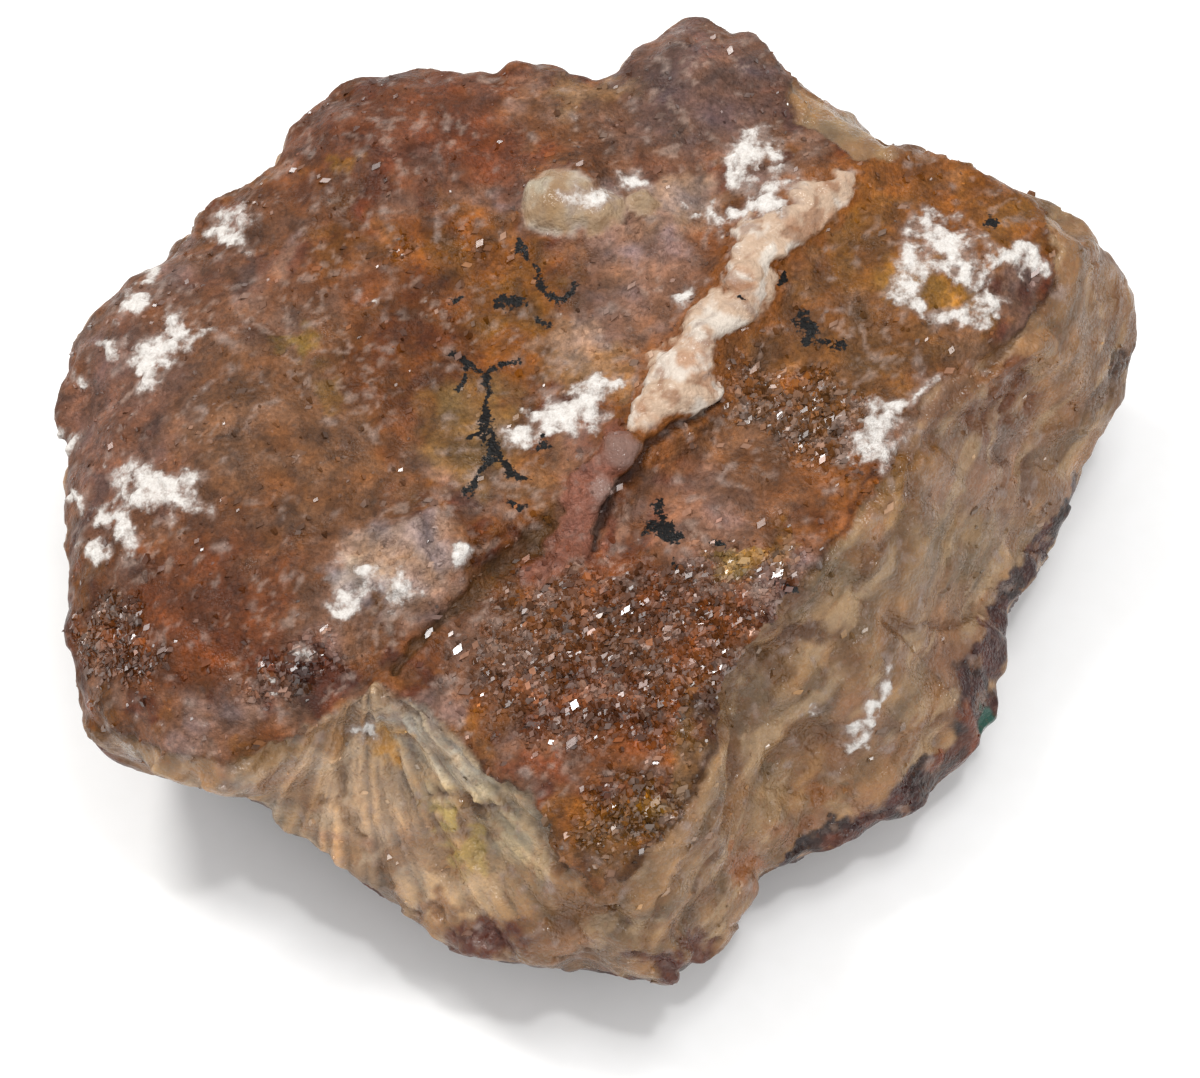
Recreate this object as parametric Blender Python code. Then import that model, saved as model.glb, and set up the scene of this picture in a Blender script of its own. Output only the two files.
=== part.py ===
"""A hand-sized broken chunk of dolomite, in one piece.

It is a thick slab. A weathered, iron-stained skin covers its top, split by a raised cream vein, and a second
skin runs round underneath. Between the two skins its sides are pale, freshly broken faces. It lies on a flat
broken face. Metres, +Z up, the origin on the ground under the middle of the stone.
"""

import math

import bmesh
import bpy
import numpy as np
from mathutils import Vector, noise

MM = 0.001

# Driving dimensions, in millimetres
TOP_CELLS = 46  # squares across the top and the base
SIDE_ROWS = 13  # rows of squares from the rim down to the base
TOP_LEVEL = 40.0  # height of the weathered top beside the vein
TOP_RISE_X = 0.030  # how much the top rises for each millimetre to the right
TOP_RISE_Y = 0.035  # and for each millimetre to the back
RIM_REACH = 7.0  # how far in from the rim the rim's own height still tells
STEP = 2.2  # how far the top drops on the right of the vein
STEP_REACH = 30.0  # how far from the vein that drop has healed
BELLY_SHARE = 0.55  # share of a side's rows that lie above its widest line
ROUNDNESS = 0.35  # how round the lower skin turns under: 0 is a straight slope, 1 a quarter of an ellipse
FACET_SIZE = 11.0  # across one flat broken face of the sides
FACET_SLOPE = 0.17  # how far such faces tilt
LEDGE_SPACING = 6.5  # from one stair-like ledge of the sides to the next
LEDGE_HEIGHT = 0.7
FOOT_CALM = 4.0  # the roughness dies away below this height, so that the foot stays flat

# The point that the outlines' angles are counted from
HUB = Vector((-8.0, -2.0))

# The rim of the weathered top, anticlockwise from the right: x, y and height. Its notch at the front left is
# where the front face reaches up to the groove.
RIM = (
    (50, 19, 35), (51, 25, 36), (43, 30, 38), (38, 32, 39), (33, 33, 40), (27, 34, 41),
    (22, 38, 41), (19, 43, 40), (17, 48, 39), (13, 52, 38), (9, 52, 38), (5, 47, 39),
    (0, 44, 39), (-6, 44, 39), (-16, 45, 38), (-22, 47, 36), (-28, 45, 36), (-32, 40, 36),
    (-34, 35, 36), (-40, 31, 34), (-43, 27, 33), (-48, 23, 32), (-54, 18, 31), (-57, 13, 29),
    (-57, 6, 28), (-56, -2, 28), (-55, -10, 28), (-55, -18, 27), (-54, -25, 26), (-52, -30, 26),
    (-45, -35, 28), (-39, -37, 29), (-30, -34, 34), (-23, -31, 38), (-19, -32, 37), (-13, -37, 36),
    (-7, -41, 34), (-4, -45, 31), (0, -48, 28), (5, -46, 30), (8, -43, 32), (11, -39, 34),
    (11, -33, 36), (13, -28, 37), (18, -23, 38), (24, -15, 38), (30, -8, 38), (34, 0, 38),
    (40, 6, 37), (46, 11, 36),
)

# The widest line of the sides, where the pale faces meet the lower skin
BELLY = (
    (59, 23, 22), (58, 27, 24), (54, 31, 26), (49, 34, 27), (42, 37, 28), (36, 39, 28),
    (30, 42, 28), (25, 46, 28), (22, 50, 26), (17, 54, 24), (11, 56, 24), (4, 52, 22),
    (-6, 49, 22), (-16, 48, 22), (-27, 49, 22), (-35, 42, 22), (-44, 34, 22), (-53, 26, 21),
    (-56, 18, 20), (-57, 8, 20), (-55, -1, 20), (-54, -11, 20), (-55, -21, 21), (-53, -28, 22),
    (-46, -31, 21), (-38, -33, 19), (-30, -37, 16), (-23, -43, 15), (-14, -49, 15), (-9, -51, 16),
    (-2, -51, 17), (4, -53, 16), (9, -53, 15), (13, -46, 14), (17, -40, 12), (22, -36, 11),
    (28, -34, 10), (34, -31, 10), (41, -24, 10), (43, -17, 11), (43, -10, 12), (47, -2, 13),
    (53, 9, 14), (57, 17, 18),
)

# The outline of the base
FOOT = (
    (46, 20), (41, 28), (26, 33), (12, 44), (-6, 40), (-26, 38), (-42, 24), (-46, 6),
    (-44, -12), (-36, -20), (-26, -25), (-12, -36), (2, -41), (9, -33), (22, -25), (34, -15), (43, 4),
)

# The joint that crosses the top from the back right to the notch: x, y, half width, and height above the top.
# It is a raised cream vein down to the middle of the stone, and an open groove from there on.
JOINT = (
    (31, 35, 2.6, 0.3), (28, 31, 2.8, 0.9), (21, 24, 4.2, 2.2), (17, 19, 3.6, 2.6), (14, 12, 3.2, 2.4),
    (11, 6, 3.4, 2.8), (8, 1, 3.2, 2.4), (4, -4, 2.8, 1.6), (0, -8, 2.6, 0.4), (-5, -12, 2.6, -1.2),
    (-10, -17, 2.8, -2.2), (-16, -22, 2.8, -2.0), (-24, -31, 3.0, -2.2),
)

# The low spur that leaves the vein where the groove begins
SPUR = ((2, -6, 2.8, 1.0), (-1, -12, 2.8, 1.6), (-4, -18, 2.8, 0.9))

# Lumps (positive) and hollows (negative) of the top: x, y, radius and height
TOP_FORMS = (
    (-3, 26, 5.2, 3.0),  # the pale nodule
    (-18, -18, 6.5, 1.5),  # the porous white swelling beside the groove
    (5, 20, 5.0, 0.9),
    (-12, 8, 13.0, -1.9),  # the ochre basin
    (-40, -6, 12.0, 1.2),
    (-30, -24, 9.0, 1.0),
    (-46, 10, 9.0, -1.0),
    (-22, 34, 12.0, 1.2),
    (10, 42, 8.0, 1.0),
    (35, 19, 10.0, 1.0),
    (24, 2, 9.0, -0.9),
    (12, -20, 11.0, 1.0),
    (3, -43, 5.0, 1.6),  # the brown knob at the front tip
    (9, -36, 4.0, -1.2),
)

# Pockets and bosses of the sides: x, y, z, radius, and how far the surface moves out
SIDE_FORMS = (
    (45, 7, 31, 4.5, -2.4),  # the rusty pocket under the right rim
    (15, -28, 32, 5.0, -2.2),  # the brown hollow under the front right rim
    (20, -23, 32, 4.0, -1.6),
    (38, -13, 22, 6.0, -1.4),
    (22, -30, 22, 6.0, -1.2),
    (-20, -38, 26, 8.0, -2.4),  # the shell-shaped front left face
    (-9, -44, 25, 5.0, -1.4),
    (-32, -37, 24, 4.0, 1.0),
    (26, 41, 32, 4.0, 2.2),  # the glassy lump under the back right rim
    (35, 41, 30, 4.0, -1.2),
    (-35, 44, 16, 8.0, -2.5),
    (10, 56, 14, 7.0, -2.0),
    (-58, 2, 14, 7.0, -2.2),
)

# The upright crest on the front right face: its two ends, its radius, and how far it stands out
CREST = (Vector((31, -4, 36)), Vector((31, -20, 13)), 3.0, 1.6)

# Planes that the stone broke along: the way each faces, in degrees round and above the ground, and how far
# it lies from the middle of the stone
FRACTURES = (
    (92, -16, 50.0), (122, -12, 52.0), (148, -16, 53.0), (180, -24, 53.0), (205, -30, 51.5), (236, -38, 43.5),
    (264, -40, 44.5), (298, -40, 44.0), (326, -44, 42.0), (352, -34, 49.0), (30, -22, 59.0), (62, -18, 52.0),
)
FRACTURE_GIVE = 0.25  # share of what stands proud of a plane that is left standing


def concentric(a, b):
    """A point of the square from -1 to 1 as an angle and a distance of the unit disc, with even spacing."""
    if max(abs(a), abs(b)) < 1e-9:
        return 0.0, 0.0
    if abs(a) >= abs(b):
        angle = math.pi / 4 * b / a + (math.pi if a < 0 else 0)
        return angle, abs(a)
    return math.pi / 2 - math.pi / 4 * a / b + (math.pi if b < 0 else 0), abs(b)


def smoothstep(value, low, high):
    share = min(1.0, max(0.0, (value - low) / (high - low)))
    return share * share * (3 - 2 * share)


def bump(distance, radius):
    return math.exp(-((distance / radius) ** 2))


class Outline:
    """A closed line round the hub, read by angle: its distance from the hub, and its height."""

    def __init__(self, points):
        rows = []
        for point in points:
            arm = Vector(point[:2]) - HUB
            height = point[2] if len(point) > 2 else 0.0
            rows.append((math.atan2(arm.y, arm.x) % math.tau, arm.length, height))
        rows.sort()
        self.angles, self.reaches, self.heights = np.array(rows).T

    def at(self, angle):
        angle %= math.tau
        reach = np.interp(angle, self.angles, self.reaches, period=math.tau)
        height = np.interp(angle, self.angles, self.heights, period=math.tau)
        return float(reach), float(height)


def near_line(x, y, line):
    """The nearest place on a line of (x, y, half width, height): its distance, side, half width and height."""
    best = None
    here = Vector((x, y))
    for start, end in zip(line, line[1:]):
        begin = Vector(start[:2])
        run = Vector(end[:2]) - begin
        along = min(1.0, max(0.0, (here - begin).dot(run) / run.length_squared))
        offset = here - (begin + run * along)
        if best is None or offset.length < best[0]:
            side = 1.0 if run.cross(offset) > 0 else -1.0
            width = start[2] + (end[2] - start[2]) * along
            height = start[3] + (end[3] - start[3]) * along
            best = (offset.length, side, width, height)
    return best


def from_segment(point, start, end):
    """How far a point lies from the straight line between two others."""
    run = end - start
    along = min(1.0, max(0.0, (point - start).dot(run) / run.length_squared))
    return (point - start - run * along).length


def top_height(x, y):
    """Height of the weathered top, with its joint, its spur, its lumps and its hollows."""
    height = TOP_LEVEL + TOP_RISE_X * x + TOP_RISE_Y * y
    distance, side, width, rise = near_line(x, y, JOINT)
    height -= STEP * smoothstep(distance * side, -0.4 * width, 1.2 * width) * bump(distance, STEP_REACH)
    height += rise * bump(distance, width)
    distance, _, width, rise = near_line(x, y, SPUR)
    height += rise * bump(distance, width)
    for form_x, form_y, radius, rise in TOP_FORMS:
        height += rise * bump(math.hypot(x - form_x, y - form_y), radius)
    return height


def top_point(angle, share, rim):
    reach, rim_height = rim.at(angle)
    x = HUB.x + share * reach * math.cos(angle)
    y = HUB.y + share * reach * math.sin(angle)
    hold = math.exp(-(1 - share) * reach / RIM_REACH)
    return Vector((x, y, top_height(x, y) * (1 - hold) + rim_height * hold))


def side_point(angle, down, rim, belly, foot):
    """A point of the side: from the rim (down 0) straight out to the belly, then under to the foot (1)."""
    rim_reach, rim_height = rim.at(angle)
    belly_reach, belly_height = belly.at(angle)
    foot_reach, _ = foot.at(angle)
    if down < BELLY_SHARE:
        share = down / BELLY_SHARE
        reach = rim_reach + (belly_reach - rim_reach) * share
        height = rim_height + (belly_height - rim_height) * share
    else:
        share = (down - BELLY_SHARE) / (1 - BELLY_SHARE)
        turn = share * math.pi / 2
        inward = ROUNDNESS * (1 - math.cos(turn)) + (1 - ROUNDNESS) * share
        drop = ROUNDNESS * math.sin(turn) + (1 - ROUNDNESS) * share
        reach = belly_reach + (foot_reach - belly_reach) * inward
        height = belly_height * (1 - drop)
    return Vector((HUB.x + reach * math.cos(angle), HUB.y + reach * math.sin(angle), height))


def box_of_squares():
    """A cube of side 2, its top and base in TOP_CELLS squares each way and its sides in SIDE_ROWS rows."""
    bm = bmesh.new()
    bmesh.ops.create_cube(bm, size=2)
    upright = [e for e in bm.edges if abs(e.verts[0].co.z - e.verts[1].co.z) > 1]
    bmesh.ops.subdivide_edges(bm, edges=upright, cuts=SIDE_ROWS - 1)
    level = [e for e in bm.edges if abs(e.verts[0].co.z - e.verts[1].co.z) < 1e-4]
    bmesh.ops.subdivide_edges(bm, edges=level, cuts=TOP_CELLS - 1, use_grid_fill=True)
    return bm


def shape_stone(bm):
    """Moves the cube's points on to the stone's top, sides and base."""
    rim, belly, foot = Outline(RIM), Outline(BELLY), Outline(FOOT)
    for vert in bm.verts:
        angle, share = concentric(vert.co.x, vert.co.y)
        if vert.co.z > 0.9999:
            vert.co = top_point(angle, share, rim)
        elif vert.co.z > -0.9999:
            vert.co = side_point(angle, (1 - vert.co.z) / 2, rim, belly, foot)
        else:
            reach = share * foot.at(angle)[0]
            vert.co = (HUB.x + reach * math.cos(angle), HUB.y + reach * math.sin(angle), 0)


def relief(point):
    """How far the weathered surface stands out at a point, from broad lumps to small ones."""
    broad = noise.noise(point / 15.0 + Vector((3.1, 0, 0)))
    lumps = noise.noise(point / 6.5 + Vector((0, 5.7, 0)))
    small = noise.noise(point / 3.4 + Vector((0, 0, 9.4)))
    return 0.8 * broad + 0.6 * lumps + 0.35 * small


def facet(point, size):
    """Height on one of many flat faces of about this size, each tilted its own way."""
    _, centres = noise.voronoi(point / size)
    centre = Vector(centres[0])
    tilt = noise.cell_vector(centre * 7.3) * 2 - Vector((1, 1, 1))
    return size * FACET_SLOPE * (point / size - centre).dot(tilt)


def ledge(point):
    """Stair-like ledges of the pale sides, which run obliquely across them."""
    across = point.dot(Vector((0.62, 0.35, 0.70))) + 2.5 * noise.noise(point / 11.0)
    stair = across / LEDGE_SPACING - math.floor(across / LEDGE_SPACING)
    return LEDGE_HEIGHT * (stair - 0.5)


def roughen(bm):
    """Adds pockets, bosses, broken faces, lumps and ledges. The base stays flat where the stone rests."""
    bm.normal_update()
    moves = []
    for vert in bm.verts:
        upward = smoothstep(vert.normal.z, 0.55, 0.85)
        downward = smoothstep(-vert.normal.z, 0.15, 0.45)
        move = relief(vert.co) * (1 - 0.4 * upward)
        move += (facet(vert.co, FACET_SIZE) + ledge(vert.co) * (1 - downward)) * (1 - upward)
        for x, y, z, radius, out in SIDE_FORMS:
            move += out * bump((vert.co - Vector((x, y, z))).length, radius)
        start, end, radius, out = CREST
        move += out * bump(from_segment(vert.co, start, end), radius) * (1 - upward)
        moves.append(vert.normal * move * smoothstep(vert.co.z, 0.1, FOOT_CALM))
    for vert, move in zip(bm.verts, moves):
        vert.co += move


def break_along_planes(bm):
    """Presses what stands proud of each fracture plane back to it, which leaves broad flat faces."""
    middle = Vector((0, 0, TOP_LEVEL / 2))
    for turn, lift, reach in FRACTURES:
        turn, lift = math.radians(turn), math.radians(lift)
        facing = Vector((math.cos(turn) * math.cos(lift), math.sin(turn) * math.cos(lift), math.sin(lift)))
        for vert in bm.verts:
            proud = (vert.co - middle).dot(facing) - reach
            if proud > 0:
                vert.co -= facing * proud * (1 - FRACTURE_GIVE)


def rest_on_ground(bm):
    """Puts the middle of the stone's box over the origin, and its base on the ground."""
    for vert in bm.verts:
        vert.co.z = max(0.0, vert.co.z)
    xs = [vert.co.x for vert in bm.verts]
    ys = [vert.co.y for vert in bm.verts]
    middle = Vector(((min(xs) + max(xs)) / 2, (min(ys) + max(ys)) / 2, 0))
    bmesh.ops.translate(bm, verts=bm.verts, vec=-middle)


def stone_material():
    material = bpy.data.materials.new("weathered_dolomite")
    material.use_nodes = True
    shader = material.node_tree.nodes["Principled BSDF"]
    shader.inputs["Base Color"].default_value = (0.23, 0.11, 0.06, 1)
    shader.inputs["Roughness"].default_value = 0.5
    shader.inputs["Metallic"].default_value = 0.0
    return material


def make_stone(collection):
    bm = box_of_squares()
    shape_stone(bm)
    roughen(bm)
    break_along_planes(bm)
    rest_on_ground(bm)
    bmesh.ops.scale(bm, vec=Vector((MM, MM, MM)), verts=bm.verts)
    bmesh.ops.recalc_face_normals(bm, faces=bm.faces)
    mesh = bpy.data.meshes.new("dolomite")
    bm.to_mesh(mesh)
    bm.free()
    mesh.materials.append(stone_material())
    stone = bpy.data.objects.new("dolomite", mesh)
    collection.objects.link(stone)
    return stone


def main():
    for old in list(bpy.data.objects):
        bpy.data.objects.remove(old)
    collection = bpy.data.collections.new("Dolomite")
    bpy.context.scene.collection.children.link(collection)
    make_stone(collection)


main()
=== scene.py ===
"""The looks of the dolomite: a fine surface with its crystals, its colours, and a plain pale studio."""

import itertools
import math
from concurrent.futures import ThreadPoolExecutor

import bmesh
import bpy
import numpy as np
from mathutils import Euler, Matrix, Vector


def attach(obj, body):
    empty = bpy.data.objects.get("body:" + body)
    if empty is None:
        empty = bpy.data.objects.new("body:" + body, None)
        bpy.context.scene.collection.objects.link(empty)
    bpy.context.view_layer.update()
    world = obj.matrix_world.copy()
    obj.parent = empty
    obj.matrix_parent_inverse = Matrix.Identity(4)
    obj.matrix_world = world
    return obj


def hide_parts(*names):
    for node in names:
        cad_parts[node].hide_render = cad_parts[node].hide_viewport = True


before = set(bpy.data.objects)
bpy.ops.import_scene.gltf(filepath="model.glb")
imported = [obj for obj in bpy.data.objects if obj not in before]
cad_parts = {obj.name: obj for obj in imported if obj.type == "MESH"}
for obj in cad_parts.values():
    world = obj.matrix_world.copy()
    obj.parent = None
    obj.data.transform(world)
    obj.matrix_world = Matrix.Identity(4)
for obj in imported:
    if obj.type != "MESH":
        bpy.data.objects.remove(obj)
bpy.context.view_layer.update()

MM = 0.001
STONE = "dolomite"

# The photograph in pixels, and the camera that took it, in millimetres
PHOTO_WIDTH = 1200
PHOTO_HEIGHT = 1078
LENS = 150.0
SENSOR = 36.0
ELEVATION = math.radians(60)
DISTANCE = 531.0
AIM = np.array((-0.494, -4.92, 22.0))
TO_CAMERA = np.array((0, -math.cos(ELEVATION), math.sin(ELEVATION)))

# The fine mesh: its squares in millimetres, and how often it is smoothed, for its shape and its broad slopes
VOXEL = 0.36
SMOOTH_ROUNDS = 14
BROAD_ROUNDS = 140
# Where the pale sides are split into a left and a right piece, in millimetres
RIGHT_FROM = 8.0
# What belongs to the base: surface that faces down at least this much, up to this height in millimetres
BASE_SLOPE = -0.6
BASE_HEIGHT = 2.5

# Where the weathered skin of the top ends, in pixels of the photograph, clockwise from the upper left
SKIN_EDGE = (
    (-80, -80), (760, -80), (790, 85), (802, 118), (850, 152), (895, 158), (985, 178), (1035, 205),
    (1058, 245), (1050, 290), (1000, 335), (960, 370), (930, 405), (900, 440), (880, 475), (865, 505),
    (845, 540), (815, 570), (780, 600), (755, 625), (735, 655), (718, 690), (712, 760), (690, 800),
    (665, 840), (640, 872), (600, 890), (570, 870), (545, 845), (530, 800), (490, 762), (440, 728),
    (400, 698), (376, 684), (340, 705), (305, 722), (260, 755), (215, 772), (150, 745), (85, 722),
    (-80, 700),
)

# Lobes of the raised cream vein, from its upper end down: x, y, radius across, radius up, turn in degrees
VEIN = (
    (836, 190, 20, 32, 30), (812, 214, 24, 26, 0), (784, 240, 30, 22, -20), (752, 238, 24, 18, -10),
    (748, 276, 28, 26, 0), (734, 312, 34, 28, -30), (706, 326, 24, 24, 0), (690, 358, 30, 26, -40),
    (666, 372, 26, 32, 20), (694, 390, 24, 22, 0), (660, 402, 26, 22, -40), (646, 420, 15, 17, 0),
)
# Grey half-clear knobs below it: the same five numbers
KNOBS = ((622, 452, 23, 15, -30), (601, 488, 10, 18, 10))

# Strokes: x, y, half width
VEIN_LINE = (
    (838, 188, 16), (806, 216, 18), (770, 242, 20), (750, 275, 20), (732, 312, 20), (700, 334, 19),
    (684, 372, 21), (650, 412, 14),
)
VEIN_TAIL = ((618, 440, 20), (592, 490, 24), (574, 530, 26), (552, 566, 20), (530, 582, 10))
VEIN_SHADOW = (
    (716, 400, 4), (690, 417, 4), (655, 440, 5), (640, 466, 5), (616, 486, 5), (606, 520, 5),
    (592, 548, 4),
)
GROOVE = (
    (560, 512, 9), (535, 540, 14), (510, 560, 14), (478, 592, 13), (448, 612, 8), (420, 640, 7),
    (395, 670, 7),
)

# Powdery white blooms, and one painted highlight at 366, 736: x, y, radius across, radius up, turn in degrees
BLOOMS_AND_HIGHLIGHT = (
    (160, 352, 24, 15, -20), (178, 345, 30, 6, -12), (152, 370, 9, 17, 10), (170, 330, 9, 13, 0),
    (152, 480, 32, 17, 10), (168, 500, 30, 12, 20), (140, 505, 16, 14, 0), (118, 530, 26, 8, 60),
    (98, 552, 16, 7, 50), (228, 222, 13, 17, 30), (226, 235, 17, 8, 0), (138, 300, 16, 9, -20),
    (66, 440, 9, 10, 0), (80, 500, 10, 7, 40), (565, 416, 24, 15, -15), (592, 405, 17, 20, 20),
    (520, 436, 15, 9, 10), (548, 425, 16, 8, 0), (604, 385, 10, 12, 0), (748, 160, 17, 22, 15),
    (770, 165, 14, 8, 0), (735, 178, 8, 12, 0), (772, 205, 22, 13, -35), (745, 215, 10, 9, 0),
    (690, 295, 9, 7, 0), (590, 200, 16, 10, -15), (628, 178, 14, 9, 0), (710, 218, 20, 8, 30),
    (945, 245, 22, 18, 0), (912, 270, 12, 14, 40), (903, 295, 9, 18, 10), (965, 262, 16, 10, 30),
    (985, 272, 12, 10, 0), (960, 312, 28, 9, -25), (985, 295, 10, 10, 0), (1010, 258, 24, 7, 20),
    (1032, 268, 12, 9, 30), (915, 310, 8, 14, -20), (882, 425, 26, 17, -20), (872, 445, 24, 13, -30),
    (900, 408, 18, 8, -30), (925, 400, 12, 6, -30), (352, 606, 22, 9, -35), (372, 585, 16, 12, 0),
    (470, 560, 14, 7, -30), (400, 590, 20, 10, -30), (340, 620, 10, 7, 0), (858, 735, 7, 20, 42),
    # The ellipse at 366, 736 on the next line is a painted highlight
    (882, 688, 6, 24, 16), (872, 712, 6, 16, 30), (366, 736, 12, 7, 20), (270, 688, 9, 6, 0),
    (300, 660, 7, 6, 0), (110, 345, 12, 7, 20), (806, 707, 4, 4, 0), (150, 268, 14, 8, -40),
    (80, 375, 12, 6, 0), (365, 300, 3, 3, 0),
)

# Black manganese dendrites: branches as x, y, half width
DENDRITES = (
    ((452, 350, 5), (466, 358, 6), (480, 372, 5), (488, 392, 5), (484, 408, 5), (487, 430, 9),
     (494, 446, 8), (505, 462, 7), (514, 478, 6), (526, 484, 4)),
    ((480, 372, 4), (500, 368, 6), (520, 360, 4)),
    ((466, 358, 4), (462, 378, 4), (456, 395, 3)),
    ((487, 432, 4), (470, 440, 3)),
    ((494, 460, 5), (480, 478, 5), (468, 492, 7)),
    ((500, 308, 8), (512, 304, 8), (524, 306, 4)),
    ((516, 252, 6), (520, 240, 6), (524, 262, 4)),
    ((534, 268, 5), (545, 290, 5), (560, 296, 6), (575, 285, 4)),
    ((540, 436, 4), (543, 448, 5)), ((520, 508, 5), (510, 503, 4)), ((545, 325, 6), (538, 318, 5)),
    ((452, 302, 4), (462, 298, 3)),
    ((655, 505, 6), (660, 520, 8), (664, 535, 9), (678, 538, 6), (645, 532, 5)),
    ((648, 530, 8), (668, 532, 8)), ((675, 562, 8), (676, 570, 5)), ((714, 540, 6), (722, 542, 4)),
    ((768, 586, 5), (782, 592, 6), (792, 590, 4)),
    ((800, 318, 9), (812, 330, 11), (806, 340, 8)), ((818, 345, 6), (845, 346, 6), (838, 350, 5)),
    ((782, 280, 5), (776, 284, 4)), ((985, 220, 6), (992, 226, 4)), ((735, 300, 3), (738, 306, 3)),
)

# Soft patches of colour on the skin: x, y, radius across, radius up, colour, strength
SKIN_TONES = (
    (200, 400, 190, 190, (122, 92, 78), 0.75), (110, 430, 70, 110, (126, 92, 80), 0.65),
    (300, 440, 130, 130, (124, 90, 66), 0.75), (380, 130, 160, 70, (106, 70, 50), 0.8),
    (480, 130, 110, 60, (116, 74, 54), 0.8), (700, 90, 110, 80, (118, 94, 86), 0.9),
    (560, 110, 60, 30, (132, 98, 74), 0.6), (600, 90, 40, 18, (152, 122, 92), 0.6),
    (540, 100, 24, 14, (158, 122, 104), 0.6), (630, 140, 70, 40, (112, 84, 70), 0.6),
    (260, 560, 120, 90, (112, 78, 58), 0.7), (200, 620, 110, 80, (116, 72, 34), 0.95),
    (120, 640, 50, 60, (104, 74, 54), 0.6), (330, 620, 60, 40, (112, 84, 68), 0.7),
    (430, 300, 120, 100, (114, 74, 18), 0.9), (420, 370, 70, 90, (108, 70, 8), 0.95),
    (470, 250, 80, 40, (136, 88, 28), 0.85), (520, 330, 66, 60, (134, 88, 14), 0.95),
    (540, 290, 40, 40, (116, 80, 16), 0.8), (470, 430, 60, 60, (134, 104, 68), 0.8),
    (400, 250, 70, 22, (134, 90, 52), 0.6), (342, 170, 14, 16, (140, 100, 30), 0.8),
    (290, 350, 20, 14, (120, 100, 36), 0.7), (330, 385, 18, 22, (128, 98, 40), 0.5),
    (640, 290, 70, 90, (152, 116, 98), 0.85), (580, 330, 34, 30, (170, 140, 120), 0.8),
    (660, 200, 60, 34, (168, 142, 124), 0.8), (640, 238, 44, 16, (170, 136, 120), 0.8),
    (600, 370, 50, 30, (150, 116, 84), 0.8), (590, 490, 36, 60, (146, 102, 88), 0.8),
    (540, 480, 36, 50, (140, 104, 76), 0.6), (400, 560, 70, 46, (176, 152, 140), 0.9),
    (360, 590, 40, 30, (184, 170, 162), 0.8), (820, 370, 130, 100, (120, 86, 58), 0.9),
    (740, 430, 100, 70, (132, 92, 66), 0.8), (900, 200, 120, 60, (140, 92, 44), 0.9),
    (930, 290, 60, 34, (150, 108, 36), 0.9), (1010, 230, 50, 44, (150, 102, 56), 0.7),
    (850, 250, 50, 50, (134, 94, 52), 0.8), (940, 350, 70, 40, (132, 92, 58), 0.7),
    (850, 500, 60, 60, (146, 92, 42), 0.8), (780, 480, 70, 60, (128, 92, 70), 0.7),
    (700, 520, 60, 50, (146, 112, 96), 0.8), (740, 560, 26, 22, (178, 142, 84), 0.8),
    (770, 560, 30, 30, (150, 106, 50), 0.6), (640, 620, 110, 70, (122, 82, 62), 0.9),
    (560, 640, 90, 60, (124, 86, 64), 0.8), (700, 640, 50, 40, (118, 78, 52), 0.7),
    (480, 650, 50, 40, (122, 90, 72), 0.7), (600, 720, 90, 50, (114, 76, 52), 0.8),
    (548, 766, 32, 18, (136, 78, 42), 0.8), (640, 740, 40, 30, (140, 84, 40), 0.6),
    (630, 840, 70, 50, (124, 88, 46), 0.9), (645, 810, 22, 18, (160, 112, 36), 0.8),
    (690, 760, 24, 60, (118, 92, 64), 0.8), (560, 830, 26, 30, (128, 86, 40), 0.7),
)

# The pale faces in the same way
SIDE_TONES = (
    (1080, 300, 70, 110, (154, 126, 104), 0.8), (1120, 380, 30, 70, (133, 111, 102), 0.6),
    (980, 470, 70, 60, (146, 122, 114), 0.85), (950, 560, 70, 60, (165, 142, 118), 0.9),
    (900, 600, 40, 70, (155, 129, 107), 0.6), (960, 630, 60, 50, (157, 120, 101), 0.7),
    (820, 560, 50, 40, (149, 128, 102), 0.8), (780, 700, 60, 60, (142, 122, 102), 0.7),
    (760, 780, 40, 60, (149, 129, 109), 0.7), (680, 900, 60, 60, (150, 126, 102), 0.8),
    (640, 940, 50, 34, (142, 124, 107), 0.6), (430, 740, 70, 50, (184, 175, 163), 0.9),
    (500, 800, 50, 60, (180, 169, 153), 0.8), (350, 790, 90, 50, (190, 161, 132), 0.9),
    (450, 880, 90, 50, (178, 155, 132), 0.8), (250, 810, 46, 22, (146, 134, 122), 0.8),
    (320, 760, 50, 16, (198, 169, 142), 0.7), (470, 790, 50, 14, (200, 184, 153), 0.7),
    (850, 130, 48, 30, (170, 155, 139), 0.9), (1060, 210, 80, 36, (154, 131, 111), 0.8),
    (72, 520, 14, 46, (146, 138, 128), 0.9), (408, 714, 32, 20, (202, 197, 188), 0.9),
    (470, 766, 44, 20, (206, 200, 188), 0.9), (522, 822, 24, 40, (198, 191, 178), 0.9),
    (545, 868, 18, 24, (190, 182, 166), 0.8), (360, 800, 50, 30, (186, 158, 132), 0.6),
)

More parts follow.
